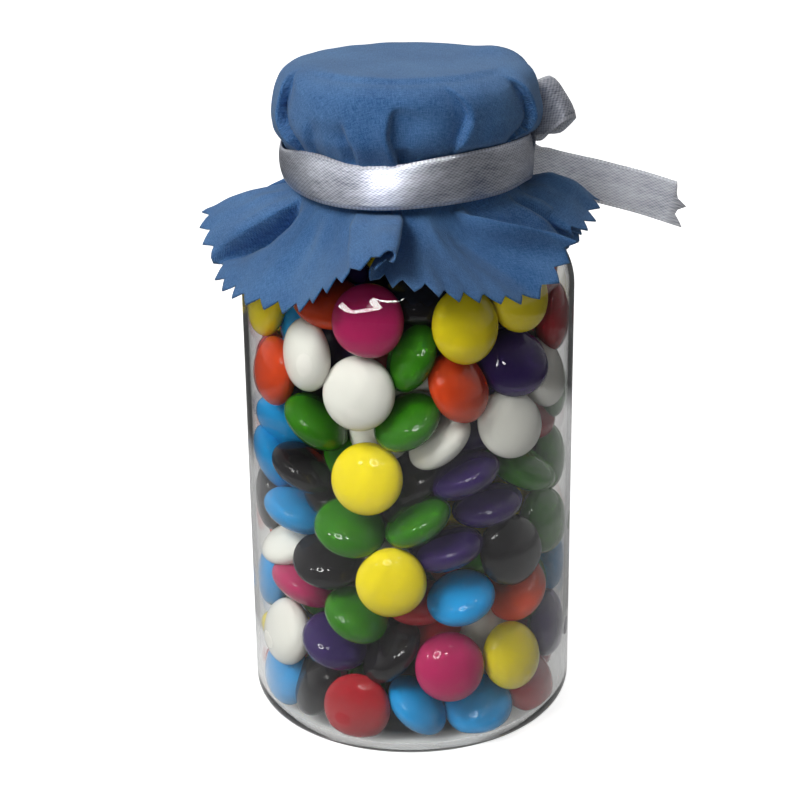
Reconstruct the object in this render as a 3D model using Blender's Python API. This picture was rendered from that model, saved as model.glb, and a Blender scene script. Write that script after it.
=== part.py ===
"""Clear jar filled with sugar-coated chocolate buttons, its lid under a tied cloth cover.

Metres, +Z up. The origin is the centre of the jar's flat base. The ribbon's bow is tied
behind the jar, towards +X and +Y, and its free tail reaches out to +X.
"""
import math

import bmesh
import bpy
from mathutils import Vector

MM = 0.001
GAP = 0.3 * MM

# Jar: a straight body, a rounded shoulder and a plain neck, open at the top.
BODY_RADIUS = 35.0 * MM
HEEL_RADIUS = 5.3 * MM
WALL = 1.0 * MM
FLOOR = 1.6 * MM
SHOULDER_START_Z = 95.0 * MM
SHOULDER_HEIGHT = 12.0 * MM
SHOULDER_REACH = 11.0 * MM
NECK_RADIUS = 23.2 * MM
NECK_FILLET = 1.5 * MM
MOUTH_Z = 139.3 * MM
JAR_STEPS = 40

# Lid: a plain cap over the neck.
LID_RADIUS = 26.2 * MM
LID_WALL = 1.2 * MM
LID_BOTTOM_Z = 129.6 * MM
LID_TOP_Z = 140.9 * MM
LID_EDGE = 1.5 * MM
LID_STEPS = 36

# Heap of buttons: domes in staggered rows, as the buttons press against the glass.
BUTTON_RADIUS = 7.5 * MM
HEAP_RELIEF = 2.2 * MM
HEAP_ROW = 11.0 * MM
HEAP_TOP_Z = 137.4 * MM
HEAP_RINGS_PER_ROW = 3
HEAP_STEPS = 40
HEAP_EASE = 2.0 * MM

# Cloth cover: a round of cotton over the lid, tied in at the neck, with a fluted skirt.
CLOTH_THICKNESS = 0.8 * MM
CLOTH_TOP_Z = 142.1 * MM
CAP_RADIUS = 27.7 * MM
CAP_EDGE = 2.4 * MM
CINCH_RADIUS = 24.8 * MM
CINCH_TOP_Z = 127.0 * MM
CINCH_BOTTOM_Z = 116.6 * MM
CLOTH_STEPS = 60
SKIRT_RINGS = 5
SKIRT_FLARE = 1.6 * MM
# The hem, as (azimuth in degrees, radius, height), round from the front (-Y) towards +X.
HEM = [
    (-4, 44.0, 111.0), (8, 42.0, 104.6), (22, 38.8, 101.2), (38, 38.4, 99.4), (50, 40.0, 102.0),
    (61, 42.0, 110.0), (72, 36.5, 104.5), (88, 39.0, 103.0), (104, 43.0, 108.5), (124, 39.5, 101.5),
    (145, 44.0, 107.5), (166, 38.5, 100.5), (188, 44.0, 108.0), (210, 38.5, 100.0), (230, 43.0, 106.0),
    (247, 38.0, 101.0), (263, 44.2, 108.6), (277, 41.0, 101.9), (291, 40.6, 97.8), (318, 38.3, 97.4),
    (333, 40.0, 102.0), (345, 43.0, 108.5),
]

# Ribbon: one satin strip, tied in a bow at the back right.
RIBBON_WIDTH = 9.3 * MM
RIBBON_THICKNESS = 0.7 * MM
BAND_RADIUS = 25.5 * MM
BAND_MID_Z = 121.9 * MM
BAND_WAVE = 0.25 * MM
BAND_STEPS = 44
KNOT_AZIMUTH = math.radians(122)
KNOT_RADIUS = 27.6 * MM
KNOT_SIZE = (8.0 * MM, 4.2 * MM, 8.0 * MM)
LOOP_START_RADIUS = 28.4 * MM
LOOP_HALF_GAP = 2.5 * MM
LOOP_STEPS = 16
TAIL_STEPS = 10


def clear_scene():
    for item in list(bpy.data.objects):
        bpy.data.objects.remove(item, do_unlink=True)


def make_material(name, colour, roughness, alpha=1.0, transmission=0.0):
    material = bpy.data.materials.new(name)
    material.use_nodes = True
    shader = material.node_tree.nodes["Principled BSDF"]
    shader.inputs["Base Color"].default_value = (*colour, 1.0)
    shader.inputs["Roughness"].default_value = roughness
    shader.inputs["Metallic"].default_value = 0.0
    shader.inputs["Alpha"].default_value = alpha
    shader.inputs["Transmission Weight"].default_value = transmission
    return material


def add_object(name, bm, material):
    """Turn a bmesh into a named, smooth-shaded object with its faces pointing out."""
    bmesh.ops.recalc_face_normals(bm, faces=bm.faces)
    mesh = bpy.data.meshes.new(name)
    bm.to_mesh(mesh)
    bm.free()
    mesh.shade_smooth()
    mesh.set_sharp_from_angle(angle=math.radians(40))
    mesh.materials.append(material)
    item = bpy.data.objects.new(name, mesh)
    bpy.context.collection.objects.link(item)
    return item


def around(azimuth, radius, z):
    """A point at an azimuth that starts at the front (-Y) and grows towards +X."""
    return Vector((radius * math.sin(azimuth), -radius * math.cos(azimuth), z))


def arc(centre_r, centre_z, radius_r, radius_z, start, end, steps):
    """Points (r, z) along part of an ellipse, its angles in degrees from +r towards +z."""
    points = []
    for i in range(steps + 1):
        angle = math.radians(start + (end - start) * i / steps)
        points.append((centre_r + radius_r * math.cos(angle), centre_z + radius_z * math.sin(angle)))
    return points


def periodic_curve(knots, t):
    """Smooth closed curve through knots [(t in degrees, value, ...)], by cubic Hermite spans."""
    count = len(knots)
    first = knots[0][0]
    t = (t - first) % 360.0 + first
    index = max(i for i in range(count) if knots[i][0] <= t)

    def knot(i):
        turns, place = divmod(i, count)
        return knots[place][0] + 360.0 * turns, knots[place][1:]

    (t0, p0), (t1, p1), (t2, p2), (t3, p3) = [knot(index + k) for k in (-1, 0, 1, 2)]
    s = (t - t1) / (t2 - t1)
    values = []
    for a, b, c, d in zip(p0, p1, p2, p3):
        slope_b = (c - a) / (t2 - t0) * (t2 - t1)
        slope_c = (d - b) / (t3 - t1) * (t2 - t1)
        values.append(b + s * slope_b + s * s * (3 * (c - b) - 2 * slope_b - slope_c)
                      + s ** 3 * (2 * (b - c) + slope_b + slope_c))
    return values


def add_ring(bm, points):
    return [bm.verts.new(point) for point in points]


def bridge(bm, ring_a, ring_b):
    for i in range(len(ring_a)):
        j = (i + 1) % len(ring_a)
        bm.faces.new((ring_a[i], ring_a[j], ring_b[j], ring_b[i]))


def fan(bm, ring, centre):
    middle = bm.verts.new(centre)
    for i in range(len(ring)):
        bm.faces.new((ring[i], ring[(i + 1) % len(ring)], middle))


def turned(name, profile, steps, material):
    """Spin a profile [(r, z)] that starts and ends on the axis into a closed solid."""
    bm = bmesh.new()
    verts = [bm.verts.new((r, 0.0, z)) for r, z in profile]
    edges = [bm.edges.new(pair) for pair in zip(verts, verts[1:])]
    bmesh.ops.spin(bm, geom=verts + edges, cent=(0, 0, 0), axis=(0, 0, 1), angle=math.tau,
                   steps=steps, use_merge=True)
    bmesh.ops.remove_doubles(bm, verts=bm.verts, dist=1e-6)
    return add_object(name, bm, material)


def jar_outline(inset, floor_z):
    """The jar's profile, moved in by a wall's thickness: floor, heel, wall, shoulder, neck."""
    heel = HEEL_RADIUS - inset
    points = arc(BODY_RADIUS - HEEL_RADIUS, floor_z + heel, heel, heel, -90, 0, 3)
    points += arc(BODY_RADIUS - SHOULDER_REACH, SHOULDER_START_Z, SHOULDER_REACH - inset,
                  SHOULDER_HEIGHT - inset, 0, 84, 5)
    shoulder_top = SHOULDER_START_Z + SHOULDER_HEIGHT - inset
    fillet = NECK_FILLET + inset
    points += arc(NECK_RADIUS + NECK_FILLET, shoulder_top + fillet, fillet, fillet, -120, -180, 2)
    points.append((NECK_RADIUS - inset, MOUTH_Z))
    return points


def build_jar(material):
    outer = [(0.0, 0.0)] + jar_outline(0.0, 0.0)
    inner = jar_outline(WALL, FLOOR)[::-1] + [(0.0, FLOOR)]
    return turned("jar", outer + inner, JAR_STEPS, material)


def build_lid(material):
    inner_radius = LID_RADIUS - LID_WALL
    profile = [(0.0, LID_TOP_Z)]
    profile += arc(LID_RADIUS - LID_EDGE, LID_TOP_Z - LID_EDGE, LID_EDGE, LID_EDGE, 90, 0, 3)
    profile += [(LID_RADIUS, LID_BOTTOM_Z), (inner_radius, LID_BOTTOM_Z)]
    profile += [(inner_radius, LID_TOP_Z - LID_WALL), (0.0, LID_TOP_Z - LID_WALL)]
    return turned("lid", profile, LID_STEPS, material)


def inner_radius_at(z):
    """Radius of the space inside the jar at a height."""
    wall = jar_outline(WALL, FLOOR)
    for (r0, z0), (r1, z1) in zip(wall, wall[1:]):
        if z0 <= z <= z1 and z1 > z0:
            return r0 + (r1 - r0) * (z - z0) / (z1 - z0)
    return wall[0][0] if z < wall[0][1] else wall[-1][0]


def relief(arc_length, z, turn_length):
    """How far the heap's outline stands out at a place: 0 between buttons, 1 on a button."""
    row = z / HEAP_ROW
    height = 0.0
    for lane in (math.floor(row), math.floor(row) + 1):
        count = max(6, round(turn_length / (2 * BUTTON_RADIUS)))
        pitch = turn_length / count
        along = arc_length / pitch + 0.5 * (lane % 2)
        off_along = (along - round(along)) * pitch
        off_up = (row - lane) * HEAP_ROW
        near = 1.0 - (off_along ** 2 + off_up ** 2) / BUTTON_RADIUS ** 2
        height = max(height, near)
    return max(0.0, height) ** 0.5


def build_sweets(material):
    """The heap of buttons as one solid, out to its uneven outline."""
    bm = bmesh.new()
    bottom = FLOOR + GAP
    count = round((HEAP_TOP_Z - bottom) / HEAP_ROW) * HEAP_RINGS_PER_ROW
    rings = []
    for k in range(count + 1):
        z = bottom + (HEAP_TOP_Z - bottom) * k / count
        reach = min(inner_radius_at(z + step) for step in (-HEAP_EASE, 0.0, HEAP_EASE)) - GAP
        points = []
        for i in range(HEAP_STEPS):
            azimuth = math.tau * i / HEAP_STEPS
            out = relief(reach * azimuth, z, reach * math.tau)
            points.append(around(azimuth, reach - HEAP_RELIEF * (1.0 - out), z))
        rings.append(add_ring(bm, points))
    for low, high in zip(rings, rings[1:]):
        bridge(bm, low, high)
    fan(bm, rings[0], (0.0, 0.0, bottom))
    fan(bm, rings[-1], (0.0, 0.0, HEAP_TOP_Z + HEAP_RELIEF * 0.5))
    return add_object("sweets", bm, material)


def skirt_point(azimuth, share):
    """A point on the skirt, from the tie (share 0) to the hem (share 1)."""
    hem_radius, hem_z = [value * MM for value in periodic_curve(HEM, math.degrees(azimuth))]
    lift = SKIRT_FLARE * math.sin(math.pi * share)
    radius = CINCH_RADIUS + (hem_radius - CINCH_RADIUS) * share + 0.5 * lift
    z = CINCH_BOTTOM_Z + (hem_z - CINCH_BOTTOM_Z) * share + lift
    return around(azimuth, radius, z)


def build_cloth(material):
    """The cover as one sheet, given its thickness inwards."""
    tuck = CAP_RADIUS - CINCH_RADIUS
    cap = [(CAP_RADIUS * 0.5, CLOTH_TOP_Z)]
    cap += arc(CAP_RADIUS - CAP_EDGE, CLOTH_TOP_Z - CAP_EDGE, CAP_EDGE, CAP_EDGE, 90, 0, 3)
    cap += [(CAP_RADIUS, LID_BOTTOM_Z), (CAP_RADIUS - 0.25 * tuck, LID_BOTTOM_Z - 1.1 * MM)]
    cap += [(CINCH_RADIUS + 0.25 * tuck, CINCH_TOP_Z + 0.5 * MM)]
    cap += [(CINCH_RADIUS, CINCH_TOP_Z), (CINCH_RADIUS, CINCH_BOTTOM_Z)]
    azimuths = [math.tau * i / CLOTH_STEPS for i in range(CLOTH_STEPS)]
    bm = bmesh.new()
    rings = [add_ring(bm, [around(a, r, z) for a in azimuths]) for r, z in cap]
    for k in range(1, SKIRT_RINGS + 1):
        share = k / SKIRT_RINGS
        rings.append(add_ring(bm, [skirt_point(a, share) for a in azimuths]))
    for upper, lower in zip(rings, rings[1:]):
        bridge(bm, lower, upper)
    fan(bm, rings[0], (0.0, 0.0, CLOTH_TOP_Z))
    cover = add_object("cloth_cover", bm, material)
    solidify = cover.modifiers.new("thickness", "SOLIDIFY")
    solidify.thickness = CLOTH_THICKNESS
    solidify.offset = -1.0
    return cover


def smooth_path(points, steps):
    """Evenly numbered points on a smooth open curve through a few route points."""
    ends = [points[0] * 2 - points[1]] + points + [points[-1] * 2 - points[-2]]
    path = []
    spans = len(points) - 1
    for i in range(steps + 1):
        place = min(i / steps * spans, spans - 1e-9)
        k = int(place)
        s = place - k
        a, b, c, d = ends[k:k + 4]
        path.append(0.5 * (2 * b + (c - a) * s + (2 * a - 5 * b + 4 * c - d) * s ** 2
                           + (3 * b - a - 3 * c + d) * s ** 3))
    return path


def strip(name, path, across, material, closed=False):
    """A thin flat strip along a path; across gives its half-width vector at each point."""
    bm = bmesh.new()
    sections = []
    count = len(path)
    for i in range(count):
        before = path[i - 1] if closed or i else path[0]
        after = path[(i + 1) % count] if closed or i < count - 1 else path[-1]
        normal = (after - before).cross(across[i]).normalized() * RIBBON_THICKNESS * 0.5
        corners = [(1, 1), (1, -1), (-1, -1), (-1, 1)]
        sections.append(add_ring(bm, [path[i] + across[i] * u + normal * v for u, v in corners]))
    for a, b in zip(sections, sections[1:]):
        bridge(bm, a, b)
    if closed:
        bridge(bm, sections[-1], sections[0])
    else:
        bm.faces.new(sections[0])
        bm.faces.new(sections[-1])
    return add_object(name, bm, material)


def hide_operand(item):
    item.hide_render = True
    item.display_type = "WIRE"


def join_to(base, operand):
    hide_operand(operand)
    union = base.modifiers.new(operand.name, "BOOLEAN")
    union.operation = "UNION"
    union.object = operand


def bow_loop(name, tip, material):
    """A loop from the knot out to its tip and back, as a closed strip."""
    start = around(KNOT_AZIMUTH, LOOP_START_RADIUS, BAND_MID_Z)
    along = tip - start
    side = along.cross(Vector((0, 0, 1))).normalized()
    width = side.cross(along).normalized()
    path = []
    across = []
    for i in range(LOOP_STEPS):
        angle = math.tau * i / LOOP_STEPS
        share = 0.5 - 0.5 * math.cos(angle)
        bulge = LOOP_HALF_GAP * math.sin(angle) * (0.7 + 0.3 * share)
        path.append(start + along * share + side * bulge)
        across.append(width * RIBBON_WIDTH * 0.5 * (0.55 + 0.45 * share))
    return strip(name, path, across, material, closed=True)


def bow_tail(name, route, material):
    path = smooth_path([around(KNOT_AZIMUTH, KNOT_RADIUS, BAND_MID_Z)] + route, TAIL_STEPS)
    across = []
    for i in range(len(path)):
        before = path[max(i - 1, 0)]
        after = path[min(i + 1, len(path) - 1)]
        side = (after - before).cross(Vector((0, 0, 1))).normalized()
        width = side.cross(after - before).normalized()
        across.append(width * RIBBON_WIDTH * (0.3 + 0.2 * min(1.0, 3.0 * i / TAIL_STEPS)))
    return strip(name, path, across, material)


def build_knot(material):
    bm = bmesh.new()
    bmesh.ops.create_icosphere(bm, subdivisions=2, radius=0.5)
    bmesh.ops.scale(bm, vec=KNOT_SIZE, verts=bm.verts)
    knot = add_object("knot_form", bm, material)
    knot.location = around(KNOT_AZIMUTH, KNOT_RADIUS, BAND_MID_Z)
    knot.rotation_euler = (0, 0, KNOT_AZIMUTH)
    return knot


def build_ribbon(material):
    """Band, knot, two loops and two tails: one strip, so one solid."""
    path = []
    for i in range(BAND_STEPS):
        azimuth = math.tau * i / BAND_STEPS
        path.append(around(azimuth, BAND_RADIUS, BAND_MID_Z - BAND_WAVE * math.cos(4 * azimuth)))
    across = [Vector((0, 0, RIBBON_WIDTH * 0.5))] * BAND_STEPS
    band = strip("ribbon", path, across, material, closed=True)
    operands = [
        build_knot(material),
        bow_loop("front_loop_form", Vector((35.0, 3.5, 132.0)) * MM, material),
        bow_loop("back_loop_form", Vector((12.5, 33.0, 129.5)) * MM, material),
        bow_tail("right_tail_form", [Vector(p) * MM for p in
                 ((34.0, 16.5, 119.0), (46.0, 12.5, 114.8), (57.6, 5.5, 110.0))], material),
        bow_tail("back_tail_form", [Vector(p) * MM for p in
                 ((24.0, 27.0, 118.6), (20.0, 38.0, 114.0), (14.0, 50.0, 107.0))], material),
    ]
    for operand in operands:
        join_to(band, operand)
    return band


def main():
    clear_scene()
    build_jar(make_material("clear_jar", (0.95, 0.97, 0.97), 0.03, alpha=0.35, transmission=1.0))
    build_lid(make_material("lid_metal", (0.72, 0.72, 0.70), 0.35))
    build_sweets(make_material("candy_shell", (0.55, 0.22, 0.10), 0.2))
    build_cloth(make_material("blue_cotton", (0.061, 0.157, 0.381), 0.85))
    build_ribbon(make_material("silver_satin", (0.42, 0.45, 0.52), 0.35))


main()
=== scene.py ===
import math

import bmesh
import bpy
import numpy as np
from mathutils import Matrix, Vector


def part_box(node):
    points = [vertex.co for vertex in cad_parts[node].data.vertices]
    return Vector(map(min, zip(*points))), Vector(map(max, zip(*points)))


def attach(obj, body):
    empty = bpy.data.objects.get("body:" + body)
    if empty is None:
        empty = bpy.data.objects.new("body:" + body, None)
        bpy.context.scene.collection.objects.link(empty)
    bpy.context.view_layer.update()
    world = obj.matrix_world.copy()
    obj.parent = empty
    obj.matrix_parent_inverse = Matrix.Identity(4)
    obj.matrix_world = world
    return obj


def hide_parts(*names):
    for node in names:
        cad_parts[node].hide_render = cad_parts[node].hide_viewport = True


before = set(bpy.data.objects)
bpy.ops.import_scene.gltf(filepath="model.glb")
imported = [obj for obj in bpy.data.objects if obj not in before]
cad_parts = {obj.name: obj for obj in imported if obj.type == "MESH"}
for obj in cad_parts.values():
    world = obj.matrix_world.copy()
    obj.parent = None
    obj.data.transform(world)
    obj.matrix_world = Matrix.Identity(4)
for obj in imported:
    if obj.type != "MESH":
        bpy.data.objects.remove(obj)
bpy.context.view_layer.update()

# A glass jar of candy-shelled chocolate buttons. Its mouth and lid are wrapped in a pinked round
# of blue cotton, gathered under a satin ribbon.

MM = 0.001
SCENE = bpy.context.scene

# Jar of thin glass. Heights are above the surface that it stands on.
JAR_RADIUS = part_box("jar")[1].x
MOUTH_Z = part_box("jar")[1].z
HEEL_RADIUS = 5.3 * MM
WALL = 1.0 * MM
FLOOR = 1.6 * MM
PUNT_DEPTH = 0.7 * MM
PUNT_RADIUS = 27.0 * MM
SHOULDER_START_Z = 95.0 * MM
SHOULDER_HEIGHT = 12.0 * MM
SHOULDER_REACH = 11.0 * MM
NECK_RADIUS = 23.2 * MM
NECK_FILLET = 1.5 * MM
GLASS_STEPS = 160

# Buttons: flattened rounds, packed in millimetres.
BUTTON_A = 7.45
BUTTON_B = 3.75
BUTTON_SPREAD = 0.03
FILL_COUNT = 190
PACK_STEPS = 260
PAIRS_EVERY = 8
FIXED_YIELD = 0.15
HOME_PULL = 0.08
BUTTON_SEGMENTS = 44
BUTTON_RINGS = 21
CORE_RADIUS = 14.0
CORE_TOP = 132.0

# The buttons that lie against the glass at the front, and some just behind them, by colour:
# bearing from the front in degrees, height in mm, turn and lean of the axis in degrees,
# and depth behind the glass in mm.
SEEN = {
    "yellow": [(-81, 93, 15, 10, 0), (-75, 94, 25, -25, 8), (22, 94, 15, 20, 0), (51, 97, -8, 14, 0),
               (-17, 62, 0, 19, 0), (74, 47, -25, 10, 7), (-8, 39.5, 5, 14, 0), (45, 18, -3, 18, 0)],
    "orange": [(-41, 96.5, 70, 62, 1), (-65.5, 80, 0, 5, 0.5), (21, 81, 30, 30, 0.5),
               (62, 28.5, 68, -38, 1)],
    "red": [(-90, 76.5, 0, 5, 0.5), (84, 88, -5, 0, 0.5), (88, 96, 0, 0, 0.5), (88, 67.5, -45, 30, 0.3),
            (93, 38, 0, 0, 1), (5, 29, 0, 80, 8.5), (14, 23, -70, 62, 9),
            (60, 8.5, -10, 35, 0.5), (82, 13, 0, 10, 1), (-23, 9.5, 5, 13, 0)],
    "white": [(-44, 86.5, -15, 6, 0), (-20, 80.5, 0, 15, 0), (75, 78, -8, 10, 0.8),
              (43.5, 71.5, -12, 18, 0), (14, 68.5, 88, -53, 1.5), (-17, 69.5, -18, 17, 9.5),
              (-72, 39, 0, 65, 0.5), (-62.5, 20, 4, 5, 0.3), (-96, 24, 0, 5, 1), (46, 21.5, 0, 20, 9)],
    "green": [(1.5, 87, -70, 27, 1.5), (92, 71, 0, 5, 0.5), (-1, 73.5, -57, 54, 0.5),
              (-45.5, 70.5, -58, -50, 0.3), (66, 57, 20, 68, 1), (90, 55.5, 0, 0, 0.5),
              (76, 43.5, -20, 10, 1), (-28.5, 48.8, 56, 63, 0.5), (3, 51.3, -88, 60, 1.5),
              (-26, 29, 74, 55, 0.8), (75, 27.5, -10, 0, 2.5), (-33, 64, 30, 20, 9)],
    "blue": [(-75, 87.5, 0, 0, 7), (-80, 64.5, 35, -24, 0.5), (-84, 57, 5, -10, 0.5),
             (-66, 47.5, -26, -60, 0.5), (-84, 30, 0, 5, 0.5), (90, 31, 0, 0, 0.5),
             (22.5, 33, -60, 63, 0.3), (-66.5, 8, 15, 3, 0.5), (2.5, 8.7, 73, 50, 0.8),
             (32, 6.6, -34, 58, 0.3)],
    "purple": [(-46, 84, 8, 15, 10), (49.5, 82.5, -34, 36, 1), (25.5, 60.5, 57, -68, 1.5),
               (39.5, 52, 50, -76, 1.5), (18, 44, 70, -73, 2), (-38, 21.3, 78, 57, 0.8),
               (78, 18.5, 0, 0, 1)],
    "pink": [(-15.5, 95.5, 5, 17, 0), (-63.5, 31.5, -15, -60, 1), (15.5, 19, -5, 27, 0)],
    "black": [(7, 98, -6, 72, 3), (-57, 58.8, -40, -52, 0.8), (-88, 47.5, 0, 0, 0.5),
              (-52, 51.5, -50, -59, 7), (3, 58, -55, 48, 8), (-42, 40.3, 60, 62, 1),
              (46.5, 42.2, -9, 12, 1.5), (-10.5, 20, -72, 46, 2.5), (-49, 10.5, -15, 29, 1)],
}
SHELL_COLOURS = {
    "yellow": (236, 214, 30),
    "orange": (190, 60, 24),
    "red": (150, 26, 34),
    "white": (232, 230, 222),
    "green": (42, 104, 14),
    "blue": (24, 136, 198),
    "purple": (44, 28, 78),
    "pink": (164, 34, 84),
    "black": (22, 20, 22),
}

# Cotton cover: a round cut with pinking shears. Lengths in mm.
CLOTH_THICKNESS = 0.35 * MM
THREAD_PITCH = 0.5 * MM
THREAD_RELIEF = 0.1 * MM
# Scales of the slubs along both threads, of the specks and of the clouds.
COTTON_SCALES = ((4200.0, 500.0, 1.0), (500.0, 4200.0, 1.0), (2600.0, 2600.0, 1.0), (60.0, 60.0, 1.0))
CLOTH_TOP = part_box("cloth_cover")[1].z / MM
CAP_DISH = 0.3
BAND_TOP = 127.0
BAND_BOTTOM = 116.8
CINCH_RADIUS = 24.9
TOOTH_PITCH = 5.0
TOOTH_DEPTH = 2.5
COLUMNS_PER_TOOTH = 6
CAP_ROWS = 58
BAND_ROWS = 6
SKIRT_ROWS = 34
NECK_CLEAR = NECK_RADIUS / MM + 0.5
LID_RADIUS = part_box("lid")[1].x / MM - 0.8
LID_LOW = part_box("lid")[0].z / MM
LID_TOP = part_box("lid")[1].z / MM
LID_EDGE = 6.0
LID_WALL = 1.2
LID_CLEAR = 0.5
LOBE_BEARING = 114.0
LOBE_WIDTH = 16.0
LOBE_RISE = 1.0
START_SHARE = 0.15
LEVEL = np.array([1.0, 1.0, 0.0])
UP = np.array([0.0, 0.0, 1.0])
# (radius, height) of the cap, from its middle down to where the ribbon draws it in.
CAP_PROFILE = [
    (1.6, 142.1), (12.0, 142.1), (19.5, 142.0), (22.6, 141.5), (24.4, 140.7), (25.7, 139.4),
    (26.6, 137.4), (27.1, 135.2), (27.5, 133.0), (27.6, 131.2), (27.3, 129.4), (26.4, 127.8),
    (25.4, 126.5), (24.9, 125.4),
]
# Hem stations: bearing, radius and height of the hem; the bearing where that part of the cloth
# leaves the ribbon; how far it stands out halfway, and how far it is pushed along there.
# Where the bearing turns back, the cloth doubles under itself.
HEM = [
    (-101, 43.4, 109.2, -94, 0.4, 0.0), (-95, 43.8, 107.8, -87, 0.9, 0.0),
    (-90, 43.2, 105.6, -80, 1.8, 0.0), (-86, 42.4, 103.6, -72, 2.6, 1.0),
    (-82.5, 41.6, 101.8, -64, 2.8, 2.2), (-81.5, 40.8, 101.4, -62.5, -1.6, 0.0),
    (-80.5, 40.4, 101.0, -60.5, -4.2, -1.0), (-79.5, 40.8, 100.6, -59.5, -3.4, -0.6),
    (-77, 41.2, 99.4, -58, -1.4, 0.0), (-71, 40.8, 98.0, -55, 0.2, 0.0),
    (-57, 39.6, 97.2, -49, 0.8, 0.0),
    (-45, 38.5, 97.6, -43.5, -0.5, 0.0), (-36, 38.0, 97.8, -37, 0.7, 0.0),
    (-27, 40.0, 102.0, -31, 0.1, 0.0), (-19, 42.0, 106.5, -26, -1.3, 0.0),
    (-15.5, 43.0, 108.3, -24.5, -1.1, 0.2), (-14.5, 43.2, 108.8, -23.5, 0.8, -0.5),
    (-10, 43.8, 111.0, -16, 0.8, 0.0), (-5.5, 44.5, 113.5, -8, 1.2, 0.0),
    (-3, 44.3, 112.0, -2.5, 1.1, 0.6), (-10.5, 40.0, 108.5, -6, -0.8, 0.0),
    (-9, 37.2, 106.0, -7, -1.8, 0.0), (-2, 40.3, 106.0, -2, -1.7, 0.0),
    (6, 42.0, 105.0, 2, -0.3, 0.0), (13, 40.5, 102.8, 6, 0.5, 0.0), (22, 38.5, 101.3, 10, 0.6, 0.0),
    (32, 38.3, 100.0, 14, -0.2, 0.0), (42, 38.2, 99.6, 17.5, -1.0, 0.0),
    (48, 40.0, 102.3, 20, -1.0, 0.0), (54, 39.8, 105.6, 21.5, 0.2, -0.3),
    (53.7, 41.7, 110.0, 23, 1.3, 0.3), (57, 38.0, 108.5, 24.5, -0.8, 0.0),
    (60, 35.5, 105.0, 30, -1.0, 0.0), (66, 34.8, 104.0, 42, 0.2, 0.0),
    (74, 35.0, 104.0, 57, 1.6, 0.5), (77, 34.0, 104.5, 59.5, -2.8, 0.0),
    (84, 35.8, 104.5, 66, 0.6, 0.0), (87, 36.8, 105.2, 72, 1.4, 0.5),
    (78, 35.0, 106.5, 73, -2.0, 0.0), (75, 36.0, 107.5, 76, -1.0, 0.0),
    (81, 38.2, 107.8, 81, 0.2, 0.0), (89, 39.4, 108.4, 86, 1.4, 0.0),
    (97, 40.8, 110.0, 91, 2.8, 0.0), (106, 41.5, 108.5, 99, 2.2, 0.0),
    (114, 40.8, 105.0, 108, -1.2, 0.0), (124, 39.5, 102.0, 118, 0.8, 0.0),
    (136, 41.5, 103.0, 134, -0.8, 0.0), (148, 44.2, 108.5, 144, 1.3, 0.5),
    (144, 40.5, 106.5, 147, -1.2, 0.0), (153, 38.8, 102.0, 153, 0.4, 0.0),
    (168, 38.6, 99.8, 167, -1.0, 0.0), (180, 41.0, 103.0, 180, 0.8, 0.0),
    (190, 44.0, 108.6, 190, 1.0, 0.0), (200, 42.0, 105.5, 197, 1.6, 0.8),
    (202, 40.8, 104.8, 195, -2.2, 0.0), (210, 38.8, 100.0, 207, -0.8, 0.0),
    (224, 39.6, 100.4, 222, 0.7, 0.0), (236, 43.0, 106.2, 234, 1.2, 0.5),
    (231, 39.6, 104.6, 237, -1.0, 0.0), (242, 38.2, 100.6, 243, 0.6, 0.0),
    (253, 40.6, 103.4, 256, -0.6, 0.0),
]
# How steeply the cloth leaves the ribbon, in degrees below level, by the height of its hem.
LEAVE_HEIGHTS = (97.0, 101.0, 105.0, 109.0, 114.0)
LEAVE_SLOPES = (66.0, 58.0, 46.0, 22.0, 6.0)
# Creases of the cap: bearing and height from the top down; which side lies on top, -1 or 1;
# height and width of its lip; depth and width of the hollow beside it; how far the lip laps over.
CAP_CREASES = [
    ([(-74, 141.9), (-69, 140.6), (-66, 138.6), (-65.5, 136.0), (-66, 133.5), (-64, 131.5),
      (-58, 129.0), (-57, 126.0)], -1, 1.3, 3.6, 2.1, 2.8, 1.1),
    ([(-44, 134.2), (-45, 131.0), (-47, 126.0)], -1, 0.4, 3.0, 1.5, 3.0, 0.2),
    ([(-27, 134.5), (-25, 131.0), (-23, 129.0), (-23, 125.0)], 1, 0.7, 1.8, 2.2, 4.4, 0.4),
    ([(-5, 137.5), (-6.5, 135.0), (-7.5, 132.0), (-6, 129.0), (-3, 125.0)], -1, 1.3, 2.2, 2.9, 6.5,
     0.5),
    ([(18, 142.0), (22, 140.0), (26.5, 136.5), (27, 134.8), (25.5, 133.0), (23, 130.5),
      (21, 126.0)], 1, 1.1, 1.8, 1.9, 4.4, 0.5),
    ([(56, 141.4), (61, 138.5), (65, 135.3), (66, 132.5), (61, 130.8), (54, 129.6),
      (50, 126.0)], 1, 1.3, 3.8, 1.9, 3.4, 0.9),
    ([(97, 142.0), (91, 138.7), (89, 135.5), (88, 126.0)], -1, 0.4, 3.0, 1.2, 2.4, 0.5),
    ([(114, 138.0), (116, 132.0), (110, 126.0)], 1, 0.5, 2.2, 1.1, 2.6, 0.2),
    ([(140, 141.0), (135, 134.0), (141, 126.0)], -1, 0.8, 2.4, 1.1, 2.8, 0.6),
    ([(168, 135.0), (171, 126.0)], 1, 0.5, 2.0, 1.2, 3.0, 0.2),
    ([(196, 141.0), (190, 135.0), (197, 126.0)], -1, 0.7, 2.2, 1.1, 2.6, 0.6),
    ([(222, 136.0), (226, 126.0)], 1, 0.5, 2.0, 1.2, 2.6, 0.2),
    ([(252, 140.0), (247, 133.0), (252, 126.0)], -1, 0.7, 2.2, 1.1, 2.6, 0.5),
]
GATHER_COUNT = 40
# At the front the cover is drawn tight over the lid's corner, and falls off sooner.
FRONT_DROP = 0.7

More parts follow.
